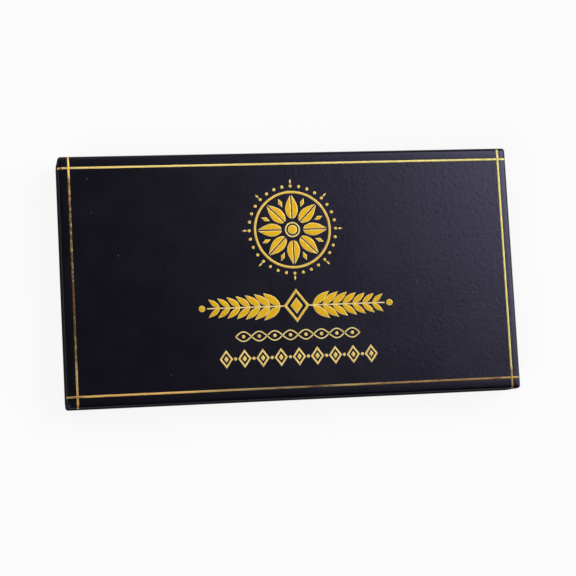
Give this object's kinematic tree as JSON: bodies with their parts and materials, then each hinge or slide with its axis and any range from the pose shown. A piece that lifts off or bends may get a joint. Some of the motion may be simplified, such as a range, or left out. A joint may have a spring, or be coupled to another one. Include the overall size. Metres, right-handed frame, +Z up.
{
  "type": "explosion gift box",
  "caption": "Closed flat gift box: the lid lifts off a shallow tray, and folded card cubes inside are pulled open by rubber bands and rise as a tower.",
  "frame": {"origin": "centre of the tray's underside, where the box stands on the table", "axes": "+X along the box's long side, to the picture's right; +Y to the picture's top edge; +Z up through the lid"},
  "size_m": [0.185, 0.1, 0.0181],
  "materials": {
    "lid_board": "matte",
    "tray_board": "matte",
    "cube_card": "matte",
    "flap_card": "matte",
    "rubber_band": "satin",
    "adhesive_pad": "satin",
    "gold_foil": "satin"
  },
  "bodies": {
    "tray": {"tray": "tray_board", "cube_1_pad": "adhesive_pad", "cube_1_base": "cube_card"},
    "lid": {"lid": "lid_board"},
    "cube_1_outer_side": {"cube_1_outer_side": "cube_card"},
    "cube_1_inner_side": {"cube_1_inner_side": "cube_card"},
    "cube_1_top": {"cube_1_top": "cube_card", "cube_2_pad": "adhesive_pad", "cube_2_base": "cube_card"},
    "cube_1_base_flap_front": {"cube_1_base_flap_front": "flap_card"},
    "cube_1_top_flap_front": {"cube_1_top_flap_front": "flap_card"},
    "cube_1_band_front": {"cube_1_band_front": "rubber_band"},
    "cube_1_base_flap_rear": {"cube_1_base_flap_rear": "flap_card"},
    "cube_1_top_flap_rear": {"cube_1_top_flap_rear": "flap_card"},
    "cube_1_band_rear": {"cube_1_band_rear": "rubber_band"},
    "cube_2_outer_side": {"cube_2_outer_side": "cube_card"},
    "cube_2_inner_side": {"cube_2_inner_side": "cube_card"},
    "cube_2_top": {"cube_2_top": "cube_card", "cube_3_pad": "adhesive_pad", "cube_3_base": "cube_card"},
    "cube_2_base_flap_front": {"cube_2_base_flap_front": "flap_card"},
    "cube_2_top_flap_front": {"cube_2_top_flap_front": "flap_card"},
    "cube_2_band_front": {"cube_2_band_front": "rubber_band"},
    "cube_2_base_flap_rear": {"cube_2_base_flap_rear": "flap_card"},
    "cube_2_top_flap_rear": {"cube_2_top_flap_rear": "flap_card"},
    "cube_2_band_rear": {"cube_2_band_rear": "rubber_band"},
    "cube_3_outer_side": {"cube_3_outer_side": "cube_card"},
    "cube_3_inner_side": {"cube_3_inner_side": "cube_card"},
    "cube_3_top": {"cube_3_top": "cube_card", "cube_4_pad": "adhesive_pad", "cube_4_base": "cube_card"},
    "cube_3_base_flap_front": {"cube_3_base_flap_front": "flap_card"},
    "cube_3_top_flap_front": {"cube_3_top_flap_front": "flap_card"},
    "cube_3_band_front": {"cube_3_band_front": "rubber_band"},
    "cube_3_base_flap_rear": {"cube_3_base_flap_rear": "flap_card"},
    "cube_3_top_flap_rear": {"cube_3_top_flap_rear": "flap_card"},
    "cube_3_band_rear": {"cube_3_band_rear": "rubber_band"},
    "cube_4_outer_side": {"cube_4_outer_side": "cube_card"},
    "cube_4_inner_side": {"cube_4_inner_side": "cube_card"},
    "cube_4_top": {"cube_4_top": "cube_card", "cube_5_pad": "adhesive_pad", "cube_5_base": "cube_card"},
    "cube_4_base_flap_front": {"cube_4_base_flap_front": "flap_card"},
    "cube_4_top_flap_front": {"cube_4_top_flap_front": "flap_card"},
    "cube_4_band_front": {"cube_4_band_front": "rubber_band"},
    "cube_4_base_flap_rear": {"cube_4_base_flap_rear": "flap_card"},
    "cube_4_top_flap_rear": {"cube_4_top_flap_rear": "flap_card"},
    "cube_4_band_rear": {"cube_4_band_rear": "rubber_band"},
    "cube_5_outer_side": {"cube_5_outer_side": "cube_card"},
    "cube_5_inner_side": {"cube_5_inner_side": "cube_card"},
    "cube_5_top": {"cube_5_top": "cube_card"},
    "cube_5_base_flap_front": {"cube_5_base_flap_front": "flap_card"},
    "cube_5_top_flap_front": {"cube_5_top_flap_front": "flap_card"},
    "cube_5_band_front": {"cube_5_band_front": "rubber_band"},
    "cube_5_base_flap_rear": {"cube_5_base_flap_rear": "flap_card"},
    "cube_5_top_flap_rear": {"cube_5_top_flap_rear": "flap_card"},
    "cube_5_band_rear": {"cube_5_band_rear": "rubber_band"}
  },
  "joints": [
    {"name": "lid_lift", "type": "slide", "parent": "tray", "child": "lid", "axis": [0, 0, 1], "range_m": [0, 0.72]},
    {"name": "cube_1_outer_fold", "type": "hinge", "parent": "tray", "child": "cube_1_outer_side", "pos_m": [-0.087, 0, 0.00299], "axis": [0, -1, 0], "range_deg": [0, 90]},
    {"name": "cube_1_inner_fold", "type": "hinge", "parent": "tray", "child": "cube_1_inner_side", "pos_m": [0, 0, 0.00299], "axis": [0, -1, 0], "range_deg": [0, 90]},
    {"name": "cube_1_top_fold", "type": "hinge", "parent": "cube_1_outer_side", "child": "cube_1_top", "pos_m": [0, 0, 0.00299], "axis": [0, 1, 0], "range_deg": [0, 90]},
    {"name": "cube_1_base_flap_front_fold", "type": "hinge", "parent": "tray", "child": "cube_1_base_flap_front", "pos_m": [-0.0435, -0.0435, 0.00299], "axis": [1, 0, 0], "range_deg": [0, 90]},
    {"name": "cube_1_top_flap_front_fold", "type": "hinge", "parent": "cube_1_top", "child": "cube_1_top_flap_front", "pos_m": [0.0435, -0.0435, 0.00299], "axis": [-1, 0, 0], "range_deg": [0, 90]},
    {"name": "cube_1_band_front_turn", "type": "hinge", "parent": "cube_1_base_flap_front", "child": "cube_1_band_front", "pos_m": [-0.0435, -0.0185, 0.00299], "axis": [0, 0, 1], "range_deg": [0, 90], "deforming": ["cube_1_band_front"]},
    {"name": "cube_1_base_flap_rear_fold", "type": "hinge", "parent": "tray", "child": "cube_1_base_flap_rear", "pos_m": [-0.0435, 0.0435, 0.00299], "axis": [-1, 0, 0], "range_deg": [0, 90]},
    {"name": "cube_1_top_flap_rear_fold", "type": "hinge", "parent": "cube_1_top", "child": "cube_1_top_flap_rear", "pos_m": [0.0435, 0.0435, 0.00299], "axis": [1, 0, 0], "range_deg": [0, 90]},
    {"name": "cube_1_band_rear_turn", "type": "hinge", "parent": "cube_1_base_flap_rear", "child": "cube_1_band_rear", "pos_m": [-0.0435, 0.0185, 0.00299], "axis": [0, 0, -1], "range_deg": [0, 90], "deforming": ["cube_1_band_rear"]},
    {"name": "cube_2_outer_fold", "type": "hinge", "parent": "cube_1_top", "child": "cube_2_outer_side", "pos_m": [0.087, 0, 0.00602], "axis": [0, 1, 0], "range_deg": [0, 90]},
    {"name": "cube_2_inner_fold", "type": "hinge", "parent": "cube_1_top", "child": "cube_2_inner_side", "pos_m": [0, 0, 0.00602], "axis": [0, 1, 0], "range_deg": [0, 90]},
    {"name": "cube_2_top_fold", "type": "hinge", "parent": "cube_2_outer_side", "child": "cube_2_top", "pos_m": [0, 0, 0.00602], "axis": [0, -1, 0], "range_deg": [0, 90]},
    {"name": "cube_2_base_flap_front_fold", "type": "hinge", "parent": "cube_1_top", "child": "cube_2_base_flap_front", "pos_m": [0.0435, -0.0435, 0.00602], "axis": [1, 0, 0], "range_deg": [0, 90]},
    {"name": "cube_2_top_flap_front_fold", "type": "hinge", "parent": "cube_2_top", "child": "cube_2_top_flap_front", "pos_m": [-0.0435, -0.0435, 0.00602], "axis": [-1, 0, 0], "range_deg": [0, 90]},
    {"name": "cube_2_band_front_turn", "type": "hinge", "parent": "cube_2_base_flap_front", "child": "cube_2_band_front", "pos_m": [0.0435, -0.0185, 0.00602], "axis": [0, 0, -1], "range_deg": [0, 90], "deforming": ["cube_2_band_front"]},
    {"name": "cube_2_base_flap_rear_fold", "type": "hinge", "parent": "cube_1_top", "child": "cube_2_base_flap_rear", "pos_m": [0.0435, 0.0435, 0.00602], "axis": [-1, 0, 0], "range_deg": [0, 90]},
    {"name": "cube_2_top_flap_rear_fold", "type": "hinge", "parent": "cube_2_top", "child": "cube_2_top_flap_rear", "pos_m": [-0.0435, 0.0435, 0.00602], "axis": [1, 0, 0], "range_deg": [0, 90]},
    {"name": "cube_2_band_rear_turn", "type": "hinge", "parent": "cube_2_base_flap_rear", "child": "cube_2_band_rear", "pos_m": [0.0435, 0.0185, 0.00602], "axis": [0, 0, 1], "range_deg": [0, 90], "deforming": ["cube_2_band_rear"]},
    {"name": "cube_3_outer_fold", "type": "hinge", "parent": "cube_2_top", "child": "cube_3_outer_side", "pos_m": [-0.087, 0, 0.00905], "axis": [0, -1, 0], "range_deg": [0, 90]},
    {"name": "cube_3_inner_fold", "type": "hinge", "parent": "cube_2_top", "child": "cube_3_inner_side", "pos_m": [0, 0, 0.00905], "axis": [0, -1, 0], "range_deg": [0, 90]},
    {"name": "cube_3_top_fold", "type": "hinge", "parent": "cube_3_outer_side", "child": "cube_3_top", "pos_m": [0, 0, 0.00905], "axis": [0, 1, 0], "range_deg": [0, 90]},
    {"name": "cube_3_base_flap_front_fold", "type": "hinge", "parent": "cube_2_top", "child": "cube_3_base_flap_front", "pos_m": [-0.0435, -0.0435, 0.00905], "axis": [1, 0, 0], "range_deg": [0, 90]},
    {"name": "cube_3_top_flap_front_fold", "type": "hinge", "parent": "cube_3_top", "child": "cube_3_top_flap_front", "pos_m": [0.0435, -0.0435, 0.00905], "axis": [-1, 0, 0], "range_deg": [0, 90]},
    {"name": "cube_3_band_front_turn", "type": "hinge", "parent": "cube_3_base_flap_front", "child": "cube_3_band_front", "pos_m": [-0.0435, -0.0185, 0.00905], "axis": [0, 0, 1], "range_deg": [0, 90], "deforming": ["cube_3_band_front"]},
    {"name": "cube_3_base_flap_rear_fold", "type": "hinge", "parent": "cube_2_top", "child": "cube_3_base_flap_rear", "pos_m": [-0.0435, 0.0435, 0.00905], "axis": [-1, 0, 0], "range_deg": [0, 90]},
    {"name": "cube_3_top_flap_rear_fold", "type": "hinge", "parent": "cube_3_top", "child": "cube_3_top_flap_rear", "pos_m": [0.0435, 0.0435, 0.00905], "axis": [1, 0, 0], "range_deg": [0, 90]},
    {"name": "cube_3_band_rear_turn", "type": "hinge", "parent": "cube_3_base_flap_rear", "child": "cube_3_band_rear", "pos_m": [-0.0435, 0.0185, 0.00905], "axis": [0, 0, -1], "range_deg": [0, 90], "deforming": ["cube_3_band_rear"]},
    {"name": "cube_4_outer_fold", "type": "hinge", "parent": "cube_3_top", "child": "cube_4_outer_side", "pos_m": [0.087, 0, 0.01208], "axis": [0, 1, 0], "range_deg": [0, 90]},
    {"name": "cube_4_inner_fold", "type": "hinge", "parent": "cube_3_top", "child": "cube_4_inner_side", "pos_m": [0, 0, 0.01208], "axis": [0, 1, 0], "range_deg": [0, 90]},
    {"name": "cube_4_top_fold", "type": "hinge", "parent": "cube_4_outer_side", "child": "cube_4_top", "pos_m": [0, 0, 0.01208], "axis": [0, -1, 0], "range_deg": [0, 90]},
    {"name": "cube_4_base_flap_front_fold", "type": "hinge", "parent": "cube_3_top", "child": "cube_4_base_flap_front", "pos_m": [0.0435, -0.0435, 0.01208], "axis": [1, 0, 0], "range_deg": [0, 90]},
    {"name": "cube_4_top_flap_front_fold", "type": "hinge", "parent": "cube_4_top", "child": "cube_4_top_flap_front", "pos_m": [-0.0435, -0.0435, 0.01208], "axis": [-1, 0, 0], "range_deg": [0, 90]},
    {"name": "cube_4_band_front_turn", "type": "hinge", "parent": "cube_4_base_flap_front", "child": "cube_4_band_front", "pos_m": [0.0435, -0.0185, 0.01208], "axis": [0, 0, -1], "range_deg": [0, 90], "deforming": ["cube_4_band_front"]},
    {"name": "cube_4_base_flap_rear_fold", "type": "hinge", "parent": "cube_3_top", "child": "cube_4_base_flap_rear", "pos_m": [0.0435, 0.0435, 0.01208], "axis": [-1, 0, 0], "range_deg": [0, 90]},
    {"name": "cube_4_top_flap_rear_fold", "type": "hinge", "parent": "cube_4_top", "child": "cube_4_top_flap_rear", "pos_m": [-0.0435, 0.0435, 0.01208], "axis": [1, 0, 0], "range_deg": [0, 90]},
    {"name": "cube_4_band_rear_turn", "type": "hinge", "parent": "cube_4_base_flap_rear", "child": "cube_4_band_rear", "pos_m": [0.0435, 0.0185, 0.01208], "axis": [0, 0, 1], "range_deg": [0, 90], "deforming": ["cube_4_band_rear"]},
    {"name": "cube_5_outer_fold", "type": "hinge", "parent": "cube_4_top", "child": "cube_5_outer_side", "pos_m": [-0.087, 0, 0.01511], "axis": [0, -1, 0], "range_deg": [0, 90]},
    {"name": "cube_5_inner_fold", "type": "hinge", "parent": "cube_4_top", "child": "cube_5_inner_side", "pos_m": [0, 0, 0.01511], "axis": [0, -1, 0], "range_deg": [0, 90]},
    {"name": "cube_5_top_fold", "type": "hinge", "parent": "cube_5_outer_side", "child": "cube_5_top", "pos_m": [0, 0, 0.01511], "axis": [0, 1, 0], "range_deg": [0, 90]},
    {"name": "cube_5_base_flap_front_fold", "type": "hinge", "parent": "cube_4_top", "child": "cube_5_base_flap_front", "pos_m": [-0.0435, -0.0435, 0.01511], "axis": [1, 0, 0], "range_deg": [0, 90]},
    {"name": "cube_5_top_flap_front_fold", "type": "hinge", "parent": "cube_5_top", "child": "cube_5_top_flap_front", "pos_m": [0.0435, -0.0435, 0.01511], "axis": [-1, 0, 0], "range_deg": [0, 90]},
    {"name": "cube_5_band_front_turn", "type": "hinge", "parent": "cube_5_base_flap_front", "child": "cube_5_band_front", "pos_m": [-0.0435, -0.0185, 0.01511], "axis": [0, 0, 1], "range_deg": [0, 90], "deforming": ["cube_5_band_front"]},
    {"name": "cube_5_base_flap_rear_fold", "type": "hinge", "parent": "cube_4_top", "child": "cube_5_base_flap_rear", "pos_m": [-0.0435, 0.0435, 0.01511], "axis": [-1, 0, 0], "range_deg": [0, 90]},
    {"name": "cube_5_top_flap_rear_fold", "type": "hinge", "parent": "cube_5_top", "child": "cube_5_top_flap_rear", "pos_m": [0.0435, 0.0435, 0.01511], "axis": [1, 0, 0], "range_deg": [0, 90]},
    {"name": "cube_5_band_rear_turn", "type": "hinge", "parent": "cube_5_base_flap_rear", "child": "cube_5_band_rear", "pos_m": [-0.0435, 0.0185, 0.01511], "axis": [0, 0, -1], "range_deg": [0, 90], "deforming": ["cube_5_band_rear"]}
  ],
  "couplings": [
    {"joint": "cube_1_outer_fold", "follows": "lid_lift", "rad_per_m": 2.1817},
    {"joint": "cube_1_inner_fold", "follows": "lid_lift", "rad_per_m": 2.1817},
    {"joint": "cube_1_top_fold", "follows": "lid_lift", "rad_per_m": 2.1817},
    {"joint": "cube_1_base_flap_front_fold", "follows": "lid_lift", "rad_per_m": 2.1817},
    {"joint": "cube_1_top_flap_front_fold", "follows": "lid_lift", "rad_per_m": 2.1817},
    {"joint": "cube_1_band_front_turn", "follows": "lid_lift", "rad_per_m": 2.1817},
    {"joint": "cube_1_base_flap_rear_fold", "follows": "lid_lift", "rad_per_m": 2.1817},
    {"joint": "cube_1_top_flap_rear_fold", "follows": "lid_lift", "rad_per_m": 2.1817},
    {"joint": "cube_1_band_rear_turn", "follows": "lid_lift", "rad_per_m": 2.1817},
    {"joint": "cube_2_outer_fold", "follows": "lid_lift", "rad_per_m": 2.1817},
    {"joint": "cube_2_inner_fold", "follows": "lid_lift", "rad_per_m": 2.1817},
    {"joint": "cube_2_top_fold", "follows": "lid_lift", "rad_per_m": 2.1817},
    {"joint": "cube_2_base_flap_front_fold", "follows": "lid_lift", "rad_per_m": 2.1817},
    {"joint": "cube_2_top_flap_front_fold", "follows": "lid_lift", "rad_per_m": 2.1817},
    {"joint": "cube_2_band_front_turn", "follows": "lid_lift", "rad_per_m": 2.1817},
    {"joint": "cube_2_base_flap_rear_fold", "follows": "lid_lift", "rad_per_m": 2.1817},
    {"joint": "cube_2_top_flap_rear_fold", "follows": "lid_lift", "rad_per_m": 2.1817},
    {"joint": "cube_2_band_rear_turn", "follows": "lid_lift", "rad_per_m": 2.1817},
    {"joint": "cube_3_outer_fold", "follows": "lid_lift", "rad_per_m": 2.1817},
    {"joint": "cube_3_inner_fold", "follows": "lid_lift", "rad_per_m": 2.1817},
    {"joint": "cube_3_top_fold", "follows": "lid_lift", "rad_per_m": 2.1817},
    {"joint": "cube_3_base_flap_front_fold", "follows": "lid_lift", "rad_per_m": 2.1817},
    {"joint": "cube_3_top_flap_front_fold", "follows": "lid_lift", "rad_per_m": 2.1817},
    {"joint": "cube_3_band_front_turn", "follows": "lid_lift", "rad_per_m": 2.1817},
    {"joint": "cube_3_base_flap_rear_fold", "follows": "lid_lift", "rad_per_m": 2.1817},
    {"joint": "cube_3_top_flap_rear_fold", "follows": "lid_lift", "rad_per_m": 2.1817},
    {"joint": "cube_3_band_rear_turn", "follows": "lid_lift", "rad_per_m": 2.1817},
    {"joint": "cube_4_outer_fold", "follows": "lid_lift", "rad_per_m": 2.1817},
    {"joint": "cube_4_inner_fold", "follows": "lid_lift", "rad_per_m": 2.1817},
    {"joint": "cube_4_top_fold", "follows": "lid_lift", "rad_per_m": 2.1817},
    {"joint": "cube_4_base_flap_front_fold", "follows": "lid_lift", "rad_per_m": 2.1817},
    {"joint": "cube_4_top_flap_front_fold", "follows": "lid_lift", "rad_per_m": 2.1817},
    {"joint": "cube_4_band_front_turn", "follows": "lid_lift", "rad_per_m": 2.1817},
    {"joint": "cube_4_base_flap_rear_fold", "follows": "lid_lift", "rad_per_m": 2.1817},
    {"joint": "cube_4_top_flap_rear_fold", "follows": "lid_lift", "rad_per_m": 2.1817},
    {"joint": "cube_4_band_rear_turn", "follows": "lid_lift", "rad_per_m": 2.1817},
    {"joint": "cube_5_outer_fold", "follows": "lid_lift", "rad_per_m": 2.1817},
    {"joint": "cube_5_inner_fold", "follows": "lid_lift", "rad_per_m": 2.1817},
    {"joint": "cube_5_top_fold", "follows": "lid_lift", "rad_per_m": 2.1817},
    {"joint": "cube_5_base_flap_front_fold", "follows": "lid_lift", "rad_per_m": 2.1817},
    {"joint": "cube_5_top_flap_front_fold", "follows": "lid_lift", "rad_per_m": 2.1817},
    {"joint": "cube_5_band_front_turn", "follows": "lid_lift", "rad_per_m": 2.1817},
    {"joint": "cube_5_base_flap_rear_fold", "follows": "lid_lift", "rad_per_m": 2.1817},
    {"joint": "cube_5_top_flap_rear_fold", "follows": "lid_lift", "rad_per_m": 2.1817},
    {"joint": "cube_5_band_rear_turn", "follows": "lid_lift", "rad_per_m": 2.1817}
  ]
}
